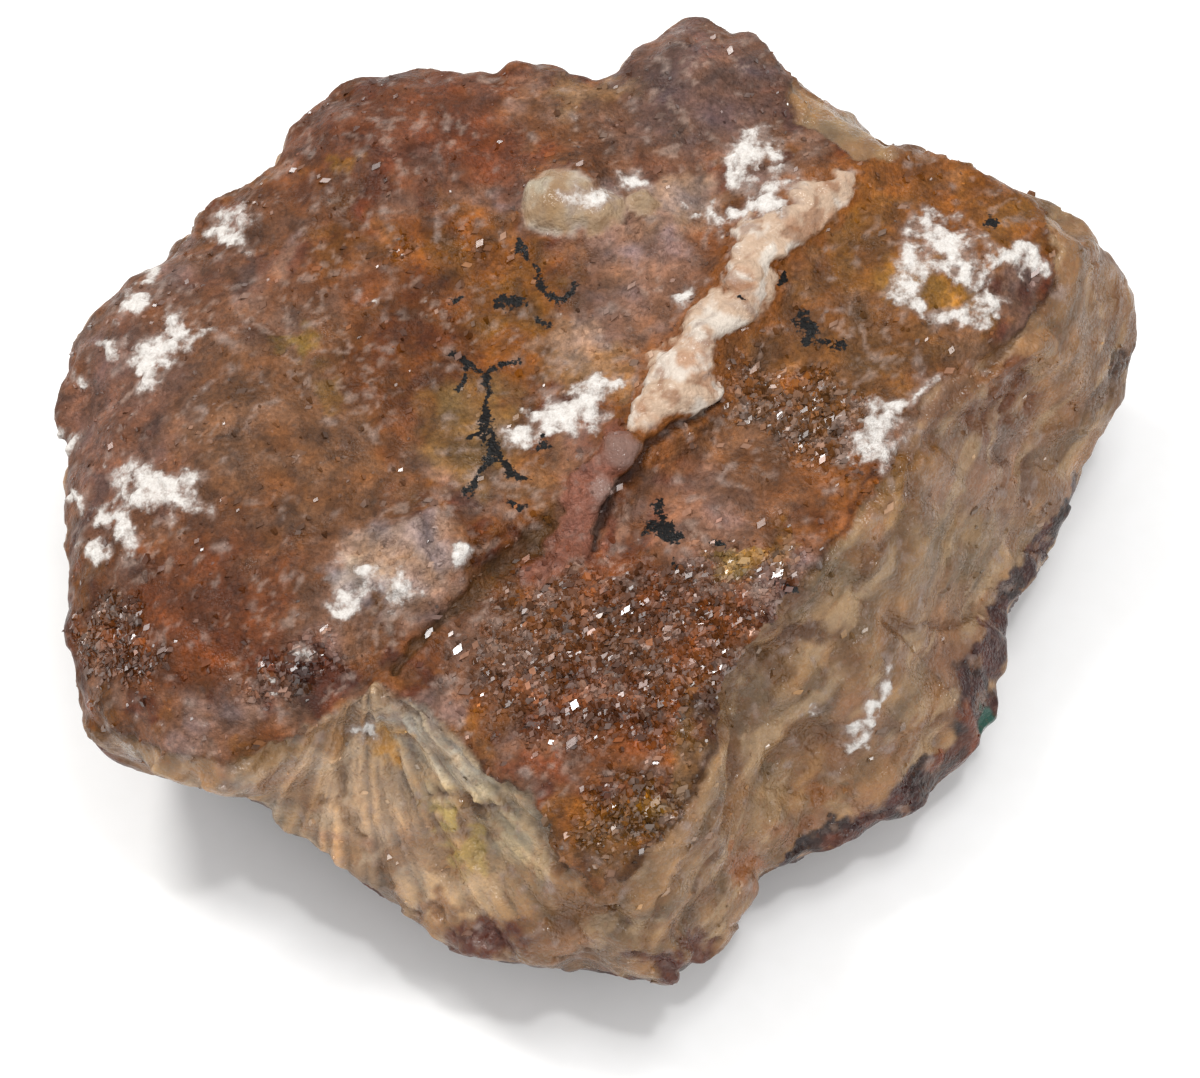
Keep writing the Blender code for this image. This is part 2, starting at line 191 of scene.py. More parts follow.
# Rust and other stains of the pale faces: x, y, radius across, radius up, colour, strength
STAINS = (
    (1010, 385, 30, 40, (124, 80, 40), 1.0), (990, 412, 30, 20, (124, 80, 46), 0.8),
    (965, 370, 50, 10, (168, 112, 72), 0.5), (905, 455, 34, 14, (150, 108, 54), 0.8),
    (890, 490, 14, 40, (160, 124, 74), 0.6), (800, 636, 50, 24, (104, 74, 46), 1.0),
    (760, 665, 40, 24, (116, 84, 54), 0.8), (730, 720, 20, 40, (128, 94, 60), 0.7),
    (742, 868, 26, 20, (176, 116, 76), 0.8), (830, 795, 20, 12, (186, 128, 84), 0.7),
    (800, 830, 30, 14, (170, 120, 92), 0.6), (385, 748, 16, 22, (212, 164, 104), 0.8),
    (439, 816, 18, 18, (204, 180, 112), 0.8), (469, 850, 24, 15, (200, 176, 112), 0.75),
    (245, 752, 50, 18, (150, 112, 70), 0.8), (170, 742, 60, 16, (138, 102, 72), 0.8),
    (120, 730, 50, 20, (120, 88, 64), 0.8), (490, 945, 50, 20, (98, 52, 32), 1.0),
    (430, 918, 40, 14, (128, 92, 70), 0.8), (664, 972, 34, 16, (96, 50, 32), 1.0),
    (700, 945, 26, 26, (106, 60, 38), 0.9), (560, 958, 40, 8, (140, 116, 92), 0.6),
    (600, 895, 40, 12, (140, 100, 64), 0.7), (1126, 366, 10, 20, (74, 62, 60), 0.8),
    (1080, 478, 14, 10, (66, 38, 30), 0.9), (480, 801, 20, 8, (88, 68, 30), 0.9),
    (380, 750, 14, 14, (212, 158, 92), 0.8),
)
# The dark skin along the lower right edge, painted darker still as shade, and the creases of the side above
# it: x, y, half width
LOWER_RIM = (
    (1084, 474, 8), (1052, 524, 12), (1024, 578, 14), (992, 630, 17), (982, 668, 28), (976, 710, 32),
    (958, 762, 28), (918, 808, 26), (868, 830, 22), (820, 848, 13), (780, 868, 7),
)
CREASES = (
    ((1052, 286, 4), (1012, 330, 6), (976, 376, 6), (945, 414, 7), (916, 452, 8), (909, 500, 8),
     (903, 560, 7), (893, 622, 6)),
    ((893, 622, 6), (884, 664, 5), (874, 700, 4)),
    ((897, 533, 4), (869, 552, 5), (852, 586, 4)),
    ((891, 626, 4), (920, 624, 4), (953, 620, 5), (981, 612, 4)),
    ((870, 470, 4), (846, 530, 4), (800, 590, 5), (750, 640, 5), (716, 700, 5), (706, 760, 5),
     (672, 830, 6), (620, 880, 6)),
    ((380, 690, 4), (425, 725, 5), (486, 760, 5), (528, 800, 5), (545, 850, 5), (590, 890, 5)),
    ((339, 763, 4), (343, 803, 5), (366, 834, 4)), ((430, 790, 3), (470, 800, 6), (500, 810, 4)),
    ((700, 700, 4), (735, 760, 4), (720, 830, 5), (660, 900, 5), (640, 960, 4)),
)
# A green spot on that skin, as one of the ellipses below
TEAL_SPOT = (986, 724, 14, 17, 20)

# Glossy, half-clear places, such as the nodule, the glassy oval and the lump at the back right
WAXY = (
    (562, 208, 44, 36, 0), (600, 215, 24, 22, 0), (436, 240, 42, 13, 3), (850, 132, 40, 24, 25),
    (632, 456, 16, 16, 0), (712, 938, 9, 9, 0), (620, 488, 8, 14, 10), (900, 600, 30, 90, 0),
)
# A painted highlight at the nodule's upper left and painted shade on its lower side: x, y, radius across,
# radius up, colour, strength
NODULE_LIGHT_AND_SHADE = ((546, 194, 18, 14, (198, 188, 168), 0.8), (578, 226, 18, 10, (176, 144, 108), 0.7))
NODULE = ((560, 207, 42, 36, 0), (598, 214, 26, 24, 0), (640, 205, 22, 16, 0))
POROUS = ((405, 562, 74, 42, -28), (640, 238, 34, 13, 20), (480, 545, 40, 22, -30))
DRUSE = (
    (600, 660, 170, 110, 0), (720, 590, 110, 60, -20), (120, 640, 44, 50, 0), (285, 675, 60, 28, -20),
    (640, 820, 80, 50, 0), (780, 400, 80, 40, 0), (430, 240, 56, 16, 0), (840, 430, 70, 50, 0),
)

# The shell-shaped front left face: where its ridges meet, in pixels, and the ellipse that they fill. Then
# how many ridges there are to a radian, how slowly they curl and how long they are, both in pixels
SHELL_HINGE = (372, 640)
SHELL_FACE = (420, 815, 210, 150, 25)
SHELL_RIDGES = 26
SHELL_CURL = 60
SHELL_LENGTH = 70

# How far the edges of marks and colours wander, in pixels: in broad bends and in fine ones
BROAD_WANDER = 20
FINE_WANDER = 16

# Which way the front right face's fibres run, and the directions across the cleavage planes
FIBRES = Vector((-0.58, -0.78, -0.22)).normalized()
CLEAVAGES = ((0.82, 0.18, 0.54), (-0.30, 0.86, 0.42), (0.15, -0.52, 0.84))

# The rock's main colours, and the clouds of other colours in each. A cloud has its colour, its size in
# millimetres, its seed and octaves, the noise at which it starts and is full, and its strength
SKIN_COLOUR = (116, 78, 52)
SKIN_CLOUDS = (
    ((126, 82, 38), 15.0, 21, 3, 0.0, 0.25, 0.8),
    ((126, 94, 78), 12.0, 22, 3, 0.02, 0.25, 0.8),
    ((132, 88, 36), 6.0, 25, 5, 0.05, 0.3, 0.6),
    ((92, 52, 32), 5.5, 26, 5, 0.04, 0.3, 0.7),
    ((144, 114, 100), 5.0, 27, 5, 0.04, 0.34, 0.8),
)
SIDE_COLOUR = (158, 127, 100)
SIDE_CLOUDS = (
    ((154, 122, 104), 11.0, 31, 3, 0.0, 0.25, 0.8),
    ((184, 156, 126), 7.0, 32, 3, 0.05, 0.3, 0.7),
)
# The lower rim and the underside: dark red-brown skin, painted darker still as shade
LOWER_SKIN_AND_SHADE_COLOUR = (78, 44, 28)
LOWER_SKIN_AND_SHADE_CLOUDS = (
    ((114, 70, 44), 6.0, 71, 4, 0.05, 0.3, 0.8),
    ((62, 42, 28), 4.5, 72, 4, 0.06, 0.3, 0.8),
    ((158, 122, 98), 2.6, 73, 3, 0.18, 0.38, 0.4),
)
VEIN_COLOUR = (212, 184, 160)
VEIN_CLOUDS = (
    ((196, 154, 126), 4.0, 76, 4, 0.0, 0.3, 0.8),
    ((236, 225, 212), 3.0, 77, 4, 0.04, 0.3, 0.85),
    ((150, 102, 72), 2.4, 78, 3, 0.14, 0.34, 0.6),
)

# The colours of single features
PALE_FLECK = (176, 152, 138)
DARK_FLECK = (50, 28, 16)
SKIN_HOLLOW = (48, 26, 14)
SKIN_CREASE = (66, 40, 22)
# Pale streaks along the fibres, partly painted highlights
PALE_FIBRE_AND_HIGHLIGHT = (208, 182, 154)
RUST = (138, 96, 62)
SIDE_HOLLOW = (112, 78, 50)
SIDE_CREASE = (116, 82, 54)
NODULE_COLOUR = (164, 140, 110)
VEIN_HEM = (152, 96, 52)
TAIL_COLOUR = (146, 98, 84)
KNOB_COLOUR = (154, 132, 124)
GROOVE_COLOUR = (94, 76, 58)
SHADOW_COLOUR = (62, 30, 20)
BLOOM_AND_HIGHLIGHT_HEM = (168, 148, 138)
TEAL = (0, 92, 80)
PALE_GRAIN = (172, 150, 140)
RUSTY_GRAIN = (142, 76, 34)
BLOOM_AND_HIGHLIGHT_COLOURS = ((176, 168, 160), (230, 227, 223))
DENDRITE_COLOURS = ((1, 1, 1), (12, 11, 10))
PAPER_COLOURS = ((244, 244, 243), (248, 248, 248))

# Where the pale faces are painted darker, as shade, and warmer, in millimetres: to the right, and at the back
# right corner
SHADED_RIGHT_SIDE = (-22.0, -8.0)
SHADED_RIGHT_CORNER = (45.0, 65.0)

# How far the places that colours are worked out at are swirled, in millimetres
SWIRL = 2.2
# The crust's crystals and the sides' flakes, in millimetres
COARSE_CRYSTAL = 1.9
FINE_CRYSTAL = 1.0
BROAD_FLAKE = 9.0
SMALL_FLAKE = 3.4
LEDGE_SPACING = 4.5
# Fibres: how thick in millimetres, and how many times as long
FIBRE_SIZE = 3.4
FIBRE_STRETCH = 3.6

# How three families of crystals are turned, in degrees
TURNS = ((38, 24, 12), (-31, 42, 65), (12, -47, 28))

# Fine grains of the material, per millimetre, and how they are turned, in radians
GRAIN_SCALE = 2.1
GRAIN_TURN = (0.7, 0.5, 0.3)

# Single crystals in the crust: how many, and their sizes in millimetres
CRYSTAL_COUNT = 11000
CRYSTAL_SIZES = (0.26, 0.74)
# How much a crystal's slant differs from its family's, in radians
CRYSTAL_WOBBLE = 0.10
# Their chance away from the glittering places, and on the broken faces, against one in the crust
STRAY_CHANCE = 0.012
SIDE_CHANCE = 0.004
# How low the skin's crystals go, in millimetres
LOWEST_CRYSTAL = 3
# How the crystals that shine together are turned, in degrees, and their share of all crystals
SHINING_TURN = (17, 5, 33)
SHINING_SHARE = 0.2
# The share of the crystals that are clear, and so look paler
CLEAR_SHARE = 0.2

# The share of the light that a colour gives back, and what gloss adds to it, which the paint leaves out
PAINT_GAIN = 0.70
GLOSS_SHARE = 0.022

# How much the skin and the broken faces shine, and the stone's refraction
SKIN_GLOSS = 0.2
SIDE_GLOSS = 0.4
REFRACTION = 1.5

# The studio in metres, but the floor's gap in millimetres. Lights: name, place, size, power, colour
FLOOR_SIZE = 4.0
FLOOR_GAP = 0.05
WORLD_STRENGTH = 0.80
LIGHTS = (
    ("key_light", (-0.30, 0.20, 0.62), 0.20, 2.6, (1.0, 0.985, 0.96)),
    ("top_light", (0.10, 0.00, 0.80), 0.25, 1.4, (1.0, 1.0, 1.0)),
    ("front_light", (0.25, -0.55, 0.35), 0.45, 0.8, (0.96, 0.98, 1.0)),
    ("glint_light", (0.12, -0.10, 0.75), 0.06, 0.9, (1.0, 1.0, 1.0)),
)

NEIGHBOURS = tuple(itertools.product((-1, 0, 1), repeat=3))
CORNERS = tuple(itertools.product((0, 1), repeat=3))
POOL = ThreadPoolExecutor(4)


def linear(colour):
    """An sRGB colour of 0 to 255 as linear light."""
    share = np.asarray(colour, float) / 255
    return np.where(share <= 0.04045, share / 12.92, ((share + 0.055) / 1.055) ** 2.4)


def paint(colour):
    """The base colour that looks like an sRGB colour once gloss and light are added."""
    full = linear(colour) * PAINT_GAIN
    return np.maximum(full - GLOSS_SHARE, full * 0.3)


def ramp(value, low, high):
    """0 up to low, 1 from high, and a smooth rise between them."""
    share = np.clip((value - low) / (high - low), 0, 1)
    return share * share * (3 - 2 * share)


def turned(degrees):
    return np.array(Euler([math.radians(angle) for angle in degrees]).to_matrix())


def hashed(cells, seed):
    """Three numbers from 0 to 1 for each whole-numbered cell."""
    key = cells[:, 0] * 73856093 + cells[:, 1] * 19349663 + cells[:, 2] * 83492791 + seed * 2654435761
    columns = []
    for _ in range(3):
        key = key & 0xFFFFFFFF
        key = ((key ^ (key >> 15)) * 0x2C1B3C6D) & 0xFFFFFFFF
        key = ((key ^ (key >> 12)) * 0x297A2D39) & 0xFFFFFFFF
        key = key ^ (key >> 15)
        columns.append(key / 2.0 ** 32)
        key = key + 0x9E3779B9
    return np.stack(columns, axis=1)


def in_parts(function, points, *rest):
    """Calls a function of many points on shares of them at once, and puts what it gives back together."""
    shares = list(POOL.map(lambda share: function(share, *rest), np.array_split(points, 16)))
    if isinstance(shares[0], tuple):
        return tuple(np.concatenate(column) for column in zip(*shares))
    return np.concatenate(shares)


def smooth_noise(points, size, seed, octaves=1):
    """Smooth noise, mostly -0.4 to 0.4, whose lumps are about this many millimetres across."""
    return in_parts(share_of_noise, points, size, seed, octaves)


def share_of_noise(points, size, seed, octaves):
    total = np.zeros(len(points))
    for octave in range(octaves):
        places = points * (2 ** octave / size) + 0.37 * seed
        base = np.floor(places).astype(np.int64)
        offset = places - base
        fade = offset ** 3 * (offset * (offset * 6 - 15) + 10)
        for corner in CORNERS:
            slope = hashed(base + corner, seed + 101 * octave) * 2 - 1
            weight = np.where(corner, fade, 1 - fade).prod(axis=1)
            total += weight * ((offset - corner) * slope).sum(axis=1) / 2 ** octave
    return total


def crystals(points, size, seed, turn):
    """Heights in millimetres of a crust of crystals at one slant, and a number from 0 to 1 for each crystal.

    Their flat faces meet at sharp edges, as those of cubes pushed into clay."""
    return in_parts(share_of_crystals, points @ turned(turn) / size, size, seed)


def share_of_crystals(places, size, seed):
    base = np.floor(places).astype(np.int64)
    height = np.full(len(places), -1.0)
    pick = np.zeros(len(places))
    for shift in NEIGHBOURS:
        cell = base + shift
        random = hashed(cell, seed)
        rise = 0.25 + 0.3 * random[:, 2] - np.abs(places - cell - random).max(axis=1)
        higher = rise > height
        height = np.where(higher, rise, height)
        pick = np.where(higher, random[:, 1], pick)
    return height * size, pick


def crust(points, size, seed):
    """Crystals at two slants grown through each other."""
    first, first_pick = crystals(points, size, seed, TURNS[0])
    second, second_pick = crystals(points, size, seed + 1, TURNS[1])
    return np.maximum(first, second), np.where(first > second, first_pick, second_pick)


def stairs(across, spacing):
    """A saw-tooth from -0.5 to 0.5: ledges that rise slowly and drop at once."""
    share = across / spacing
    return share - np.floor(share) - 0.5


def fibres(points, direction, size, stretch, seed, octaves=2):
    """Noise drawn out along a direction."""
    along = points @ np.array(direction)
    squeezed = points - np.outer(along * (1 - 1 / stretch), direction)
    return smooth_noise(squeezed, size, seed, octaves)


def to_photo(points):
    """Where points in millimetres land in the photograph, in pixels."""
    offset = points - AIM
    up = offset[:, 1] * math.sin(ELEVATION) + offset[:, 2] * math.cos(ELEVATION)
    depth = DISTANCE + offset[:, 1] * math.cos(ELEVATION) - offset[:, 2] * math.sin(ELEVATION)
    scale = LENS / SENSOR * PHOTO_WIDTH / depth
    return np.stack((PHOTO_WIDTH / 2 + offset[:, 0] * scale, PHOTO_HEIGHT / 2 - up * scale), axis=1)


def ellipse_field(pixels, ellipses):
    """1 at the middle of the nearest ellipse, 0 on its edge and negative outside, down to -1."""
    best = np.full(len(pixels), -1.0)
    for x, y, across, up, turn in ellipses:
        angle = math.radians(turn)
        dx, dy = pixels[:, 0] - x, pixels[:, 1] - y
        along = (dx * math.cos(angle) + dy * math.sin(angle)) / across
        over = (dy * math.cos(angle) - dx * math.sin(angle)) / up
        best = np.maximum(best, 1 - np.hypot(along, over))
    return best


def stroke_distance(pixels, stroke):
    """Distance in pixels from a stroke of (x, y, half width), and the half width at the nearest place."""
    best = np.full(len(pixels), 1e9)
    width = np.zeros(len(pixels))
    for (x0, y0, w0), (x1, y1, w1) in zip(stroke, stroke[1:]):
        run = np.array((x1 - x0, y1 - y0), float)
        offset = pixels - (x0, y0)
        along = np.clip(offset @ run / (run @ run), 0, 1)
        distance = np.hypot(*(offset - along[:, None] * run).T)
        nearer = distance < best
        best = np.where(nearer, distance, best)
        width = np.where(nearer, w0 + (w1 - w0) * along, width)
    return best, width


def stroke_field(pixels, strokes):
    """1 on the middle of the nearest stroke, 0 on its edge, down to -1."""
    best = np.full(len(pixels), -1.0)
    for stroke in strokes:
        distance, width = stroke_distance(pixels, stroke)
        best = np.maximum(best, 1 - distance / width)
    return best


def polygon_distance(pixels, corners):
    """Signed distance in pixels from a closed outline, positive inside."""
    closed = list(corners) + [corners[0]]
    distance, _ = stroke_distance(pixels, [(x, y, 1) for x, y in closed])
    inside = np.zeros(len(pixels), bool)
    for (x0, y0), (x1, y1) in zip(closed, closed[1:]):
        if y0 == y1:
            continue
        crosses = (y0 > pixels[:, 1]) != (y1 > pixels[:, 1])
        inside ^= crosses & (pixels[:, 0] < (x1 - x0) * (pixels[:, 1] - y0) / (y1 - y0) + x0)
    return np.where(inside, distance, -distance)


def fine_mesh():
    """The CAD stone's mesh in fine even squares: points in millimetres, squares, and smoothed points."""
    bm = bmesh.new()
    bm.from_mesh(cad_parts[STONE].data)
    bmesh.ops.remove_doubles(bm, verts=bm.verts, dist=1e-6)
    source = bpy.data.meshes.new("coarse_stone")
    bm.to_mesh(source)
    bm.free()
    helper = bpy.data.objects.new("coarse_stone", source)
    bpy.context.scene.collection.objects.link(helper)
    remesh = helper.modifiers.new("squares", "REMESH")
    remesh.mode = "VOXEL"
    remesh.voxel_size = VOXEL * MM
    smooth = helper.modifiers.new("smooth", "SMOOTH")
    smooth.factor = 0.5
    places = []
    for rounds in (SMOOTH_ROUNDS, BROAD_ROUNDS):
        smooth.iterations = rounds
        graph = bpy.context.evaluated_depsgraph_get()
        mesh = helper.evaluated_get(graph).to_mesh()
        flat = np.empty(len(mesh.vertices) * 3, np.float32)
        mesh.vertices.foreach_get("co", flat)
        places.append(flat.reshape(-1, 3).astype(float) / MM)
        squares = np.empty(len(mesh.loops), np.int32)
        mesh.loops.foreach_get("vertex_index", squares)
    bpy.data.objects.remove(helper)
    return places[0], squares.reshape(-1, 4), places[1]


def vertex_normals(points, squares):
    a, b, c, d = (points[squares[:, i]] for i in range(4))
    faces = np.cross(c - a, d - b)
    normals = np.stack([
        np.bincount(squares.ravel(), np.repeat(faces[:, i], 4), len(points)) for i in range(3)
    ], axis=1)
    return normals / np.maximum(np.linalg.norm(normals, axis=1), 1e-9)[:, None]


class Surface:
    """The stone's surface: its points in millimetres, its normals, its pixels, and the fields on it."""

    def __init__(self):
        self.points, self.squares, broad_points = fine_mesh()
        self.normals = vertex_normals(self.points, self.squares)
        self.broad = vertex_normals(broad_points, self.squares)
        points = self.points
        self.seen = ramp(self.broad @ TO_CAMERA, 0.0, 0.25)
        self.plain = to_photo(points)
        swirls = [smooth_noise(points, 6.0, seed, 2) for seed in (5, 6, 7)]
        self.flow = points + SWIRL * np.stack(swirls, axis=1)
        self.wander = np.stack([self.find_wander(11, 12), self.find_wander(13, 14)], axis=1)
        # Faces turned down get the dark lower skin with its painted shade
        facing_down = -self.broad[:, 2] + 0.25 * smooth_noise(points, 6.0, 3)
        self.under = ramp(facing_down, 0.12, 0.3) * (1 - self.seen * 0.8)
        self.skin = self.find_skin()
        self.find_marks()

    def find_wander(self, broad_seed, fine_seed):
        broad = BROAD_WANDER * smooth_noise(self.points, 7.0, broad_seed)
        return broad + FINE_WANDER * smooth_noise(self.points, 2.2, fine_seed, 3)

    def find_skin(self):
        """1 on the weathered skin of the top, 0 on the pale broken sides."""
        edge = polygon_distance(self.pixels(0.8), SKIN_EDGE)
        by_photo = ramp(edge, -3, 3)
        by_slope = ramp(self.broad[:, 2] + 0.3 * smooth_noise(self.points, 5.0, 4, 2), 0.38, 0.55)
        facing_back = ramp(self.broad[:, 1], 0.1, 0.5)
        by_slope = np.where(by_photo > 0, by_slope, 0)
        return by_photo * (1 - facing_back) * self.seen + by_slope * (1 - (1 - facing_back) * self.seen)

    def find_marks(self):
        """Where the photograph's marks are: 1 in the middle of each and 0 or less off it."""
        pixels = self.pixels(0.9)
        self.vein = self.mark(np.maximum(ellipse_field(pixels, VEIN), stroke_field(pixels, (VEIN_LINE,))))
        self.knobs = self.spots(KNOBS, 0.3)
        self.tail = self.strokes((VEIN_TAIL,), 0.7)
        self.groove = self.strokes((GROOVE,), 0.5)
        self.shadow = self.strokes((VEIN_SHADOW,), 0.4)
        self.nodule = self.spots(NODULE, 0.6)
        self.waxy = self.spots(WAXY, 1.0)
        self.porous = self.spots(POROUS, 1.0)
        self.druse = self.spots(DRUSE, 1.5)
        ragged = 1.1 * smooth_noise(self.points, 1.5, 17, 2)
        self.white = self.mark(ellipse_field(self.pixels(1.1), BLOOMS_AND_HIGHLIGHT) + ragged)
        self.black = self.strokes(DENDRITES, 0.5)
        self.crease = self.strokes(CREASES, 0.6)
        self.stain = self.spots([stain[:4] + (0,) for stain in STAINS], 1.2)

    def spots(self, ellipses, wander):
        return self.mark(ellipse_field(self.pixels(wander), ellipses))

    def strokes(self, strokes, wander):
        return self.mark(stroke_field(self.pixels(wander), strokes))

    def pixels(self, wander):
        """Where the points are in the photograph, moved by this share of the wander."""
        return self.plain + self.wander * wander

    def mark(self, field):
        """A field of the photograph's marks, kept off what the photograph doesn't show."""
        return field * self.seen - (1 - self.seen)


def lay(tone, colour, weight):
    """Paints a colour over the tones with a weight for each point."""
    weight = np.clip(weight, 0, 1)[:, None]
    return tone * (1 - weight) + paint(colour) * weight


def clouded(colour, points, clouds):
    """A colour for every point, with soft clouds of other colours over it."""
    tone = np.tile(paint(colour), (len(points), 1))
    for other, size, seed, octaves, start, full, strength in clouds:
        tone = lay(tone, other, ramp(smooth_noise(points, size, seed, octaves), start, full) * strength)
    return tone


def shade(tone, brightness, warmth):
    """Tones made brighter and warmer by powers of e."""
    return tone * np.exp(np.stack((brightness + warmth * 0.5, brightness, brightness - warmth), axis=1))


def paint_patches(tone, surface, patches):
    """Soft patches of colour over the tones, with edges that wander."""
    pixels = surface.pixels(1.6)
    for x, y, across, up, colour, strength in patches:
        field = ellipse_field(pixels, ((x, y, across * 1.25, up * 1.25, 0),))
        tone = lay(tone, colour, ramp(field, 0.0, 0.6) * strength * 0.9 * surface.seen)
    return tone


class Relief:
    """How far each point moves out, in millimetres, with what the colours need: crystals and hollows."""

    def __init__(self, surface):
        self.surface = surface
        points, skin = surface.points, surface.skin
        self.crystalline = 0.06 + 0.94 * ramp(surface.druse, -0.1, 0.6)
        hidden_druse = ramp(smooth_noise(points, 14.0, 39, 2), 0.04, 0.2)
        self.crystalline = self.crystalline * surface.seen + 0.6 * hidden_druse * (1 - surface.seen)
        self.coarse, self.coarse_pick = crust(points, COARSE_CRYSTAL, 41)
        self.fine, self.fine_pick = crust(points, FINE_CRYSTAL, 43)
        self.veined = ramp(surface.vein, 0.08, 0.30)
        self.fibre = self.find_fibre()
        side = self.side_relief()
        on_skin = self.skin_relief()
        calm = 1 - 0.8 * ramp(surface.waxy, 0.0, 0.3)
        bare = (1 - self.veined) * calm
        move = (on_skin * skin + side * (1 - skin)) * bare
        move += 0.25 * ramp(skin, 0.35, 0.75)
        move += self.vein_relief()
        self.move = (move + self.marks_relief()) * ramp(points[:, 2], 0.1, 1.6)
        self.hollow = np.clip(-(on_skin * skin + side * (1 - skin)), 0, 1)

    def skin_relief(self):
        """Low lumps, grit, and a crust where the skin glitters."""
        points = self.surface.points
        lumps = 0.75 * smooth_noise(points, 6.0, 45, 3)
        grit = 0.14 * smooth_noise(points, 1.2, 46, 2)
        rugged = 0.34 * self.coarse + 0.30 * self.fine + 0.7 * smooth_noise(points, 2.4, 47, 3)
        return lumps + grit + rugged * self.crystalline

    def find_fibre(self):
        """Noise along the fibres: straight on most faces, curved and fanned out on the shell-shaped one."""
        surface = self.surface
        straight = fibres(surface.flow, FIBRES, FIBRE_SIZE, FIBRE_STRETCH, 48, 3)
        offset = surface.plain - np.array(SHELL_HINGE)
        reach = np.hypot(offset[:, 0], offset[:, 1])
        turn = np.arctan2(offset[:, 1], offset[:, 0])
        across = turn * SHELL_RIDGES + reach / SHELL_CURL + surface.wander[:, 0] / SHELL_CURL
        fan = np.stack((across, reach / SHELL_LENGTH, np.zeros(len(turn))), axis=1)
        curved = smooth_noise(fan, 1.6, 49, 3)
        self.shell = ramp(ellipse_field(surface.plain, (SHELL_FACE,)), 0.0, 0.3) * surface.seen
        return straight * (1 - self.shell) + curved * self.shell

    def side_relief(self):
        """Flakes, fibres, small ledges, creases and eaten-out stains."""
        points = self.surface.points
        broad, _ = crystals(self.surface.flow, BROAD_FLAKE, 51, TURNS[2])
        small, _ = crystals(self.surface.flow, SMALL_FLAKE, 52, TURNS[1])
        relief = 0.16 * broad + 0.10 * small + 0.4 * smooth_noise(points, 8.0, 53, 2)
        relief += (0.24 + 0.4 * self.shell) * self.fibre
        for number, direction in enumerate(CLEAVAGES):
            across = points @ np.array(direction) + 3.5 * smooth_noise(points, 9.0, 54 + number, 2)
            patchy = ramp(smooth_noise(points, 7.0, 57 + number), 0.02, 0.2)
            relief += 0.35 * stairs(across, LEDGE_SPACING) * patchy
        relief -= 0.4 * ramp(self.surface.crease, -0.5, 1.0)
        stained = ramp(self.surface.stain, 0.1, 0.5) * ramp(smooth_noise(points, 1.6, 60), -0.05, 0.15)
        return relief - 0.4 * stained

    def vein_relief(self):
        """The lumpy vein, with its knobs and tail, and the nodule."""
        surface = self.surface
        domes = np.sqrt(np.clip(surface.vein, 0, 1) * 1.6)
        lumps = 0.9 * smooth_noise(surface.points, 2.8, 61, 3)
        knobs = 0.7 * np.sqrt(np.clip(surface.knobs, 0, 1))
        tail = 0.5 * ramp(surface.tail, 0.0, 0.3) * (0.6 + 2.0 * smooth_noise(surface.points, 1.8, 62, 2))
        nodule = 1.6 * ramp(surface.nodule, -0.1, 0.8) + 0.5 * ramp(surface.nodule, 0, 0.3) * lumps
        return self.veined * (0.1 + 0.5 * domes + lumps + 0.12 * self.fine) + knobs + tail + nodule

    def marks_relief(self):
        """Pores, the groove, the step below the vein, and the powder of the blooms and of the painted
        highlight.
        """
        surface, points = self.surface, self.surface.points
        porous = ramp(surface.porous, -0.1, 0.3)
        move = porous * (0.35 - 0.8 * ramp(smooth_noise(points, 1.8, 63, 2), 0.02, 0.2))
        move -= 0.8 * ramp(surface.groove, 0.0, 0.7)
        move -= 0.9 * ramp(surface.shadow, -0.5, 0.5)
        bloom = ramp(surface.white + 1.0 * smooth_noise(points, 1.2, 64, 2), 0.1, 0.4)
        return move + bloom * (0.20 + 0.6 * smooth_noise(points, 0.9, 65))


def skin_tones(surface, relief):
    """The clouded red-brown, ochre and lilac of the weathered skin."""
    points = surface.flow
    tone = clouded(SKIN_COLOUR, points, SKIN_CLOUDS)
    tone = paint_patches(tone, surface, SKIN_TONES)
    tone = shade(tone, 1.0 * smooth_noise(points, 3.4, 23, 5), 0.5 * smooth_noise(points, 4.0, 24, 4))
    flecked = ramp(smooth_noise(points, 6.0, 30, 2), 0.0, 0.2)
    tone = lay(tone, PALE_FLECK, ramp(smooth_noise(points, 1.1, 29, 2), 0.10, 0.34) * flecked * 0.45)
    tone = lay(tone, DARK_FLECK, ramp(smooth_noise(points, 1.3, 28, 2), 0.14, 0.36) * (1 - flecked) * 0.3)
    picks = (relief.coarse_pick - 0.5) * 0.3 + (relief.fine_pick - 0.5) * 0.4
    tone = shade(tone, picks * relief.crystalline, 0.2 * (relief.fine_pick - 0.5) * relief.crystalline)
    valley = ramp(-0.6 * relief.coarse - relief.fine, 0.1, 0.6)
    tone = lay(tone, SKIN_HOLLOW, valley * 0.5 * relief.crystalline)
    return lay(tone, SKIN_CREASE, ramp(surface.crease, -0.3, 0.8) * 0.6)


